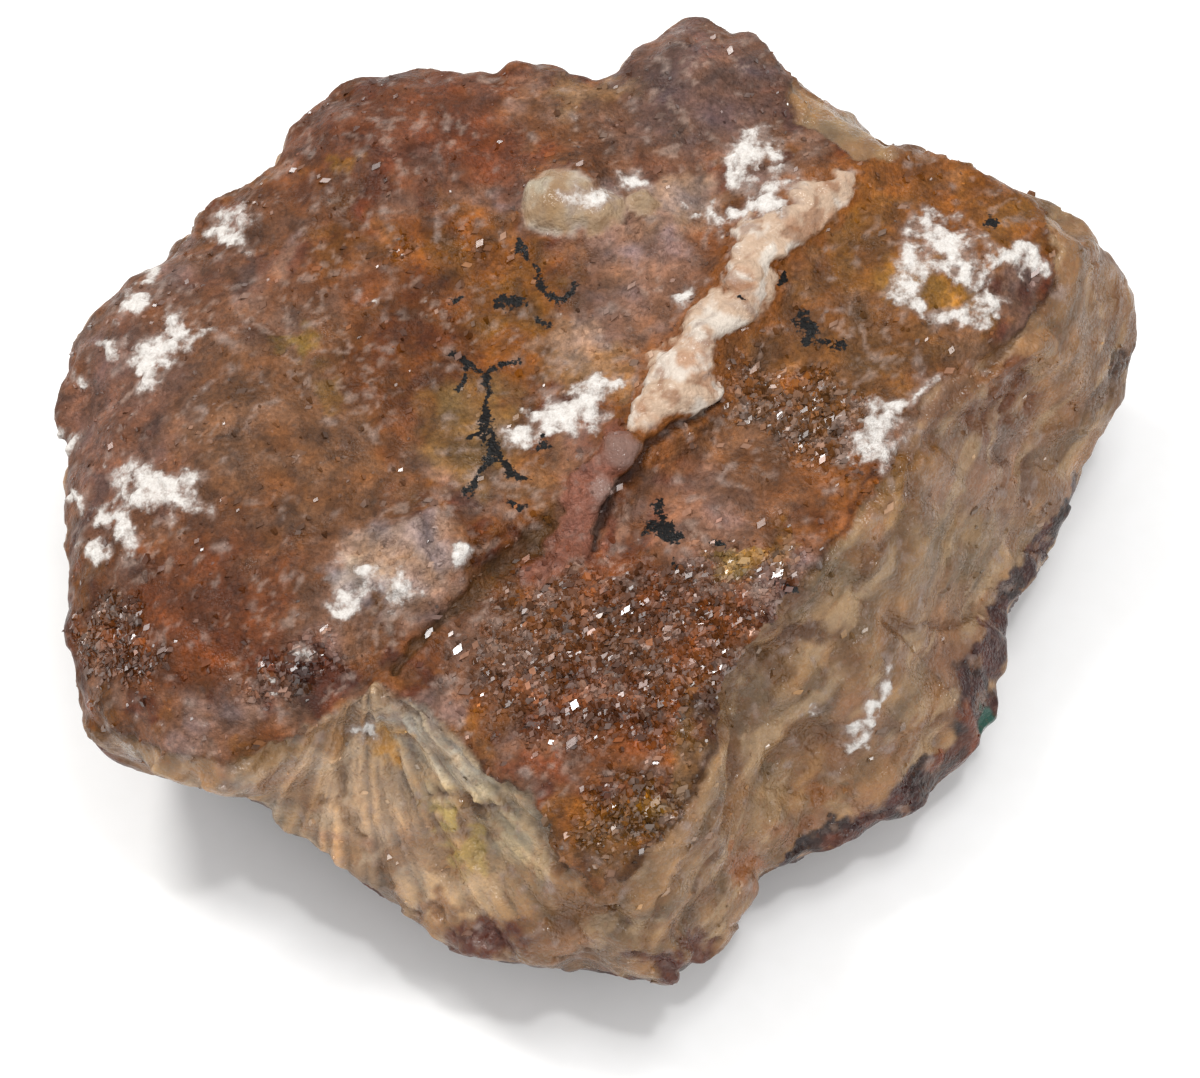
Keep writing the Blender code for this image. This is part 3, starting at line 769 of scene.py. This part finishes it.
def side_tones(surface, relief):
    """The cream, peach and grey of the broken faces, with their stains; their fibre streaks are partly
    painted highlight and shade, and they are painted darker to the right as shade.
    """
    points = surface.flow
    tone = clouded(SIDE_COLOUR, points, SIDE_CLOUDS)
    tone = paint_patches(tone, surface, SIDE_TONES)
    # Brighter on the raised fibres and darker between them: the fibres' own banding, partly painted highlight
    # and shade
    tone = shade(tone, (0.8 + 0.3 * relief.shell) * relief.fibre, 0.2 * relief.fibre)
    tone = shade(tone, 0.4 * smooth_noise(points, 6.0, 33, 3), 0.2 * smooth_noise(points, 7.0, 34, 3) + 0.07)
    # Pale streaks along the fibres, partly painted highlights
    tone = lay(tone, PALE_FIBRE_AND_HIGHLIGHT, ramp(fibres(points, FIBRES, 3.2, 4.0, 35, 3), 0.06, 0.34) * 0.6)
    tone = lay(tone, RUST, ramp(smooth_noise(points, 7.0, 36, 3), 0.12, 0.36) * 0.5)
    tone = lay(tone, SIDE_HOLLOW, ramp(relief.hollow, 0.25, 0.8) * 0.4)
    tone = lay(tone, SIDE_CREASE, ramp(surface.crease, -0.8, 0.8) * 0.5)
    tone = paint_patches(tone, surface, STAINS)
    right = ramp(surface.points[:, 0], *SHADED_RIGHT_SIDE)
    corner = ramp(surface.points[:, 0] + surface.points[:, 1], *SHADED_RIGHT_CORNER)
    # Painted shade: darker to the right and at the back right corner, and warmer there
    brightness = 0.3 * smooth_noise(points, 2.0, 37, 3) - 0.32 * right - 0.16 * corner
    return shade(tone, brightness, 0.12 * smooth_noise(points, 1.8, 38, 2) + 0.20 * right + 0.14 * corner)


def lower_skin_and_shade_tones(surface):
    """The dark red-brown skin of the lower rim and the underside, painted darker still as shade."""
    points = surface.flow
    tone = clouded(LOWER_SKIN_AND_SHADE_COLOUR, points, LOWER_SKIN_AND_SHADE_CLOUDS)
    return shade(tone, 1.0 * smooth_noise(points, 2.4, 74, 3), 0.4 * smooth_noise(points, 3.0, 75, 2))


def vein_tones(surface):
    """The cream and pink of the vein and the nodule, with a painted highlight and painted shade on the
    nodule.
    """
    tone = clouded(VEIN_COLOUR, surface.flow, VEIN_CLOUDS)
    tone = lay(tone, NODULE_COLOUR, ramp(surface.nodule, 0.0, 0.3) * 0.7)
    return paint_patches(tone, surface, NODULE_LIGHT_AND_SHADE)


def stone_tones(surface, relief):
    skin = skin_tones(surface, relief)
    side = side_tones(surface, relief)
    lower = lower_skin_and_shade_tones(surface)
    # The lower rim and the faces turned down take the dark skin with its painted shade
    rim = surface.strokes((LOWER_RIM,), 1.0)
    under = np.maximum(surface.under, ramp(rim, -0.05, 0.3))[:, None]
    side = side * (1 - under) + lower * under
    share = surface.skin[:, None]
    tone = skin * share + side * (1 - share)
    tone = lay(tone, VEIN_HEM, ramp(surface.vein, -0.5, -0.05) * 0.6)
    pale = np.maximum(relief.veined, ramp(surface.nodule, 0.0, 0.22))[:, None]
    tone = tone * (1 - pale) + vein_tones(surface) * pale
    tone = lay(tone, TAIL_COLOUR, ramp(surface.tail, 0.0, 0.5) * 0.7)
    tone = lay(tone, KNOB_COLOUR, ramp(surface.knobs, 0.0, 0.5) * 0.6)
    tone = lay(tone, GROOVE_COLOUR, ramp(surface.groove, 0.0, 0.6) * 0.6)
    tone = lay(tone, SHADOW_COLOUR, ramp(surface.shadow, -0.3, 0.5) * 0.75)
    # A pale hem round the blooms and round the painted highlight
    around = surface.white + 1.2 * smooth_noise(surface.points, 2.0, 79, 3)
    tone = lay(tone, BLOOM_AND_HIGHLIGHT_HEM, ramp(around, -0.7, 0.1) * 0.6)
    teal = surface.spots((TEAL_SPOT,), 0.8)
    return np.clip(lay(tone, TEAL, ramp(teal, 0.0, 0.4)), 0.003, 0.9)


def hollow_base(points, normals):
    """Shallow hollows in the underside, in millimetres, between the places it rests on."""
    flat = ramp(-normals[:, 2], 0.9, 0.99) * (points[:, 2] < 0.4)
    return flat * 1.3 * ramp(smooth_noise(points, 8.0, 81, 3), 0.0, 0.22)


def write_attribute(mesh, name, values):
    """Stores a number or a colour for each point, which the material reads."""
    if values.ndim == 2:
        attribute = mesh.attributes.new(name, "FLOAT_COLOR", "POINT")
        full = np.concatenate([values, np.ones((len(values), 1))], axis=1)
        attribute.data.foreach_set("color", full.astype(np.float32).ravel())
    else:
        attribute = mesh.attributes.new(name, "FLOAT", "POINT")
        attribute.data.foreach_set("value", values.astype(np.float32))


def make_piece(name, points, faces, normals, values, material):
    """One piece of the visual model, with only those points that its faces use."""
    used, faces = np.unique(faces, return_inverse=True)
    mesh = bpy.data.meshes.new(name)
    mesh.from_pydata((points[used] * MM).tolist(), [], faces.reshape(-1, 4).tolist())
    for attribute, numbers in values.items():
        write_attribute(mesh, attribute, numbers[used])
    if normals is not None:
        mesh.shade_smooth()
        mesh.normals_split_custom_set_from_vertices(normals[used].tolist())
    mesh.materials.append(material)
    piece = bpy.data.objects.new(name, mesh)
    bpy.context.scene.collection.objects.link(piece)
    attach(piece, "root")
    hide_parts(STONE)
    print("piece", name, "triangles", len(mesh.polygons) * 2)


def make_stone(surface, relief):
    """The whole surface in four pieces. Gives back its points and tones."""
    points = surface.points + surface.normals * relief.move[:, None]
    points[:, 2] += hollow_base(surface.points, surface.broad)
    points[:, 2] = np.maximum(points[:, 2], 0.0)
    normals = vertex_normals(points, surface.squares)
    pale = np.maximum(relief.veined, ramp(np.maximum(surface.nodule, surface.knobs), 0.0, 0.15))
    skin = surface.skin * (1 - pale)
    waxy = np.maximum(ramp(surface.waxy, 0.0, 0.3), pale * 0.8)
    glint = np.maximum(skin * relief.crystalline, 0.25 * (1 - skin)) * (1 - 0.7 * waxy)
    rough = 0.52 * skin + 0.34 * (1 - skin) + 0.5 * smooth_noise(surface.points, 3.0, 82, 2) - 0.16 * waxy
    values = {
        "tone": stone_tones(surface, relief), "skin": skin, "glint": glint,
        "rough": np.clip(rough, 0.12, 0.9), "white": surface.white, "black": surface.black,
    }
    skin_look = stone_material("weathered_skin", SKIN_GLOSS)
    broken_look = stone_material("broken_faces", SIDE_GLOSS)
    squares = surface.squares
    facing_down = surface.broad[squares, 2].mean(axis=1) < BASE_SLOPE
    below = facing_down & (surface.points[squares, 2].mean(axis=1) < BASE_HEIGHT)
    above = (surface.skin[squares].mean(axis=1) > 0.5) & ~below
    around = ~above & ~below
    right = surface.points[squares, 0].mean(axis=1) > RIGHT_FROM
    shares = (
        ("dolomite_top", above, skin_look), ("dolomite_base", below, skin_look),
        ("dolomite_left", around & ~right, broken_look), ("dolomite_right", around & right, broken_look),
    )
    for name, chosen, material in shares:
        make_piece(name, points, squares[chosen], normals, values, material)
    return points, values["tone"]


def make_crystals(surface, relief, points, tones):
    """Single small crystals that stand a little out of the crust, with their own flat faces."""
    random = np.random.default_rng(7)
    chance = surface.skin * (1 - relief.veined) * (relief.crystalline ** 2 + STRAY_CHANCE)
    chance = chance * (points[:, 2] > LOWEST_CRYSTAL) + SIDE_CHANCE * (1 - surface.skin) * surface.seen
    chance *= 0.05 + 0.95 * ramp(surface.broad @ TO_CAMERA, 0.3, 0.6)
    chance = chance * (ramp(surface.white, -0.4, 0.0) < 0.5) * (ramp(surface.waxy, 0.0, 0.3) < 0.5)
    places = random.choice(len(points), CRYSTAL_COUNT, p=chance / chance.sum())
    small, large = CRYSTAL_SIZES
    sizes = small + (large - small) * random.random(CRYSTAL_COUNT) ** 3
    shapes = sizes[:, None] * (0.6 + random.random((CRYSTAL_COUNT, 3)) * np.array((1.1, 0.4, 0.3))) / 2
    families = np.stack([turned(turn) for turn in TURNS + (SHINING_TURN,)])
    family = random.integers(0, len(TURNS), CRYSTAL_COUNT)
    family[random.random(CRYSTAL_COUNT) < SHINING_SHARE] = len(TURNS)
    frames = families[family]
    wobble = random.normal(0, CRYSTAL_WOBBLE, (CRYSTAL_COUNT, 3))
    corners = np.array(CORNERS) * 2.0 - 1
    corners = corners + 0.35 * corners[:, [1, 2, 0]]
    middles = points[places] - surface.normals[places] * sizes[:, None] * 0.12
    arms = corners[None] * shapes[:, None]
    arms = np.einsum("nij,nkj->nki", frames, arms)
    arms += np.cross(wobble[:, None], arms)
    cubes = (middles[:, None] + arms).reshape(-1, 3)
    cubes[:, 2] = np.maximum(cubes[:, 2], 0.0)
    sides = np.array(((0, 1, 3, 2), (4, 6, 7, 5), (0, 4, 5, 1), (2, 3, 7, 6), (0, 2, 6, 4), (1, 5, 7, 3)))
    faces = (np.arange(CRYSTAL_COUNT)[:, None, None] * 8 + sides).reshape(-1, 4)
    lift = np.exp(random.normal(0.05, 0.25, CRYSTAL_COUNT))[:, None]
    clear = 0.04 * (random.random(CRYSTAL_COUNT) < CLEAR_SHARE)[:, None]
    own = np.clip(tones[places] * lift + clear, 0, 0.8)
    tones = np.repeat(own, 8, axis=0)
    make_piece("dolomite_crystals", cubes, faces, None, {"tone": tones}, crystal_material())


class Graph:
    """A short way to write a material's nodes."""

    def __init__(self, material):
        material.use_nodes = True
        self.nodes = material.node_tree.nodes
        self.links = material.node_tree.links
        self.shader = self.nodes["Principled BSDF"]

    def put(self, socket, value):
        """Links another socket to this one, or sets its value."""
        if isinstance(value, bpy.types.NodeSocket):
            self.links.new(value, socket)
        else:
            socket.default_value = value

    def node(self, kind, settings=(), **values):
        node = self.nodes.new("ShaderNode" + kind)
        for name, value in dict(settings).items():
            setattr(node, name, value)
        for name, value in values.items():
            self.put(node.inputs[name.replace("_", " ")], value)
        return node

    def math(self, operation, a, b=0.0, c=0.0, clamp=False):
        node = self.node("Math", {"operation": operation, "use_clamp": clamp})
        for socket, value in zip(node.inputs, (a, b, c)):
            self.put(socket, value)
        return node.outputs[0]

    def scaled(self, vector, scale):
        node = self.node("VectorMath", {"operation": "SCALE"})
        self.put(node.inputs[0], vector)
        self.put(node.inputs["Scale"], scale)
        return node.outputs["Vector"]

    def place(self):
        """Where the surface is, in millimetres."""
        return self.scaled(self.node("TexCoord").outputs["Object"], 1 / MM)

    def attribute(self, name):
        return self.node("Attribute", {"attribute_name": name}).outputs["Fac"]

    def tone(self):
        return self.node("Attribute", {"attribute_name": "tone"}).outputs["Color"]

    def step(self, value, low, high):
        node = self.node("MapRange", {"interpolation_type": "SMOOTHSTEP"}, Value=value)
        self.put(node.inputs["From Min"], low)
        self.put(node.inputs["From Max"], high)
        return node.outputs["Result"]

    def span(self, value, low, high):
        """A value of 0 to 1 as one from low to high."""
        return self.math("MULTIPLY_ADD", value, high - low, low)

    def mix(self, share, a, b):
        node = self.node("Mix", {"data_type": "RGBA"})
        self.put(node.inputs[0], share)
        self.put(node.inputs[6], a)
        self.put(node.inputs[7], b)
        return node.outputs[2]

    def split(self, colour):
        return self.node("SeparateColor", Color=colour).outputs[:3]


def rgba(colour):
    return (*linear(colour), 1.0)


def stone_material(name, gloss):
    """The stone's surface: its tones, broken up by fine grains, with powdery white, which also paints one
    highlight, and dull black on them.
    """
    material = bpy.data.materials.new(name)
    g = Graph(material)
    place = g.place()
    tilt = g.node("VectorRotate", {"rotation_type": "EULER_XYZ"}, Vector=place, Rotation=GRAIN_TURN)
    tilted = tilt.outputs[0]
    grains = g.node("TexVoronoi", {"distance": "CHEBYCHEV"}, Vector=tilted, Scale=GRAIN_SCALE)
    pick, second_pick, _ = g.split(grains.outputs["Color"])
    grit = g.node("TexNoise", Vector=place, Scale=1.9, Detail=2.0, Roughness=0.65)
    shade_grit, white_grit, black_grit = g.split(grit.outputs["Color"])
    glint = g.attribute("glint")

    strength = g.span(g.attribute("skin"), 0.25, 0.9)
    change = g.math("MULTIPLY_ADD", g.math("SUBTRACT", shade_grit, 0.5), 1.3, g.span(pick, -0.2, 0.2))
    change = g.math("MULTIPLY_ADD", change, strength, 1.0)
    colour = g.scaled(g.tone(), change)
    pale = g.math("MULTIPLY", g.step(pick, 0.84, 0.92), g.span(glint, 0.0, 0.35))
    colour = g.mix(pale, colour, rgba(PALE_GRAIN))
    rusty = g.math("MULTIPLY", g.step(pick, 0.16, 0.08), g.span(glint, 0.0, 0.4))
    colour = g.mix(rusty, colour, rgba(RUSTY_GRAIN))
    white = g.math("MULTIPLY_ADD", g.math("SUBTRACT", white_grit, 0.5), 1.5, g.attribute("white"))
    white = g.math("MULTIPLY", g.step(white, -0.3, 0.75), 0.97)
    black = g.math("MULTIPLY_ADD", g.math("SUBTRACT", black_grit, 0.5), 3.0, g.attribute("black"))
    black = g.step(black, 0.12, 0.5)
    # Powdery white, and one painted highlight among it
    colour = g.mix(white, colour, g.mix(shade_grit, *map(rgba, BLOOM_AND_HIGHLIGHT_COLOURS)))
    colour = g.mix(black, colour, g.mix(shade_grit, *map(rgba, DENDRITE_COLOURS)))
    g.put(g.shader.inputs["Base Color"], colour)

    glassy = g.math("MULTIPLY", g.step(second_pick, 0.4, 0.7), glint)
    rough = g.math("MULTIPLY_ADD", glassy, -0.34, g.attribute("rough"))
    rough = g.math("MULTIPLY_ADD", white, 0.4, rough, clamp=True)
    g.put(g.shader.inputs["Roughness"], rough)

    facet = g.math("MULTIPLY", grains.outputs["Distance"], g.span(glint, -0.10, -0.4))
    texture = g.node("TexNoise", Vector=place, Scale=2.6, Detail=2.0, Roughness=0.6).outputs["Fac"]
    height = g.math("MULTIPLY_ADD", texture, g.span(g.attribute("skin"), 0.08, 0.24), facet)
    bump = g.node("Bump", Height=height, Strength=1.0, Distance=MM)
    g.put(g.shader.inputs["Normal"], bump.outputs["Normal"])
    g.shader.inputs["IOR"].default_value = REFRACTION
    g.shader.inputs["Specular IOR Level"].default_value = gloss
    return material


def crystal_material():
    """The glassy faces of single crystals."""
    material = bpy.data.materials.new("crystal_faces")
    g = Graph(material)
    place = g.place()
    grit = g.node("TexNoise", Vector=place, Scale=1.6, Detail=2.0).outputs["Fac"]
    g.put(g.shader.inputs["Base Color"], g.scaled(g.tone(), g.span(grit, 0.6, 1.4)))
    g.put(g.shader.inputs["Roughness"], g.span(grit, 0.04, 0.3))
    g.shader.inputs["IOR"].default_value = REFRACTION
    return material


def paper_material():
    material = bpy.data.materials.new("studio_paper")
    g = Graph(material)
    place = g.node("TexCoord").outputs["Object"]
    fibre = g.node("TexNoise", Vector=place, Scale=300.0, Detail=2.0).outputs["Fac"]
    g.put(g.shader.inputs["Base Color"], g.mix(fibre, *map(rgba, PAPER_COLOURS)))
    g.shader.inputs["Roughness"].default_value = 0.9
    return material


def make_floor():
    bpy.ops.mesh.primitive_plane_add(size=FLOOR_SIZE, location=(0, 0, -FLOOR_GAP * MM))
    floor = bpy.context.object
    floor.name = "studio_floor"
    floor.data.materials.append(paper_material())


def area_light(name, place, size, power, colour):
    data = bpy.data.lights.new(name, "AREA")
    data.shape = "DISK"
    data.size = size
    data.energy = power
    data.color = colour
    light = bpy.data.objects.new(name, data)
    light.location = place
    light.rotation_mode = "QUATERNION"
    light.rotation_quaternion = (Vector(AIM * MM) - Vector(place)).to_track_quat("-Z", "Y")
    bpy.context.scene.collection.objects.link(light)


def make_studio():
    make_floor()
    for light in LIGHTS:
        area_light(*light)
    world = bpy.data.worlds.new("studio")
    world.use_nodes = True
    world.node_tree.nodes["Background"].inputs["Color"].default_value = (1, 1, 1, 1)
    world.node_tree.nodes["Background"].inputs["Strength"].default_value = WORLD_STRENGTH
    bpy.context.scene.world = world
    bpy.context.scene.view_settings.view_transform = "Standard"


def make_camera():
    data = bpy.data.cameras.new("photo_camera")
    data.lens = LENS
    data.sensor_width = SENSOR
    data.sensor_fit = "HORIZONTAL"
    camera = bpy.data.objects.new("photo_camera", data)
    camera.location = (AIM + TO_CAMERA * DISTANCE) * MM
    camera.rotation_euler = (math.pi / 2 - ELEVATION, 0, 0)
    bpy.context.scene.collection.objects.link(camera)
    bpy.context.scene.camera = camera


def main():
    make_camera()
    make_studio()
    surface = Surface()
    relief = Relief(surface)
    points, tones = make_stone(surface, relief)
    make_crystals(surface, relief, points, tones)


main()
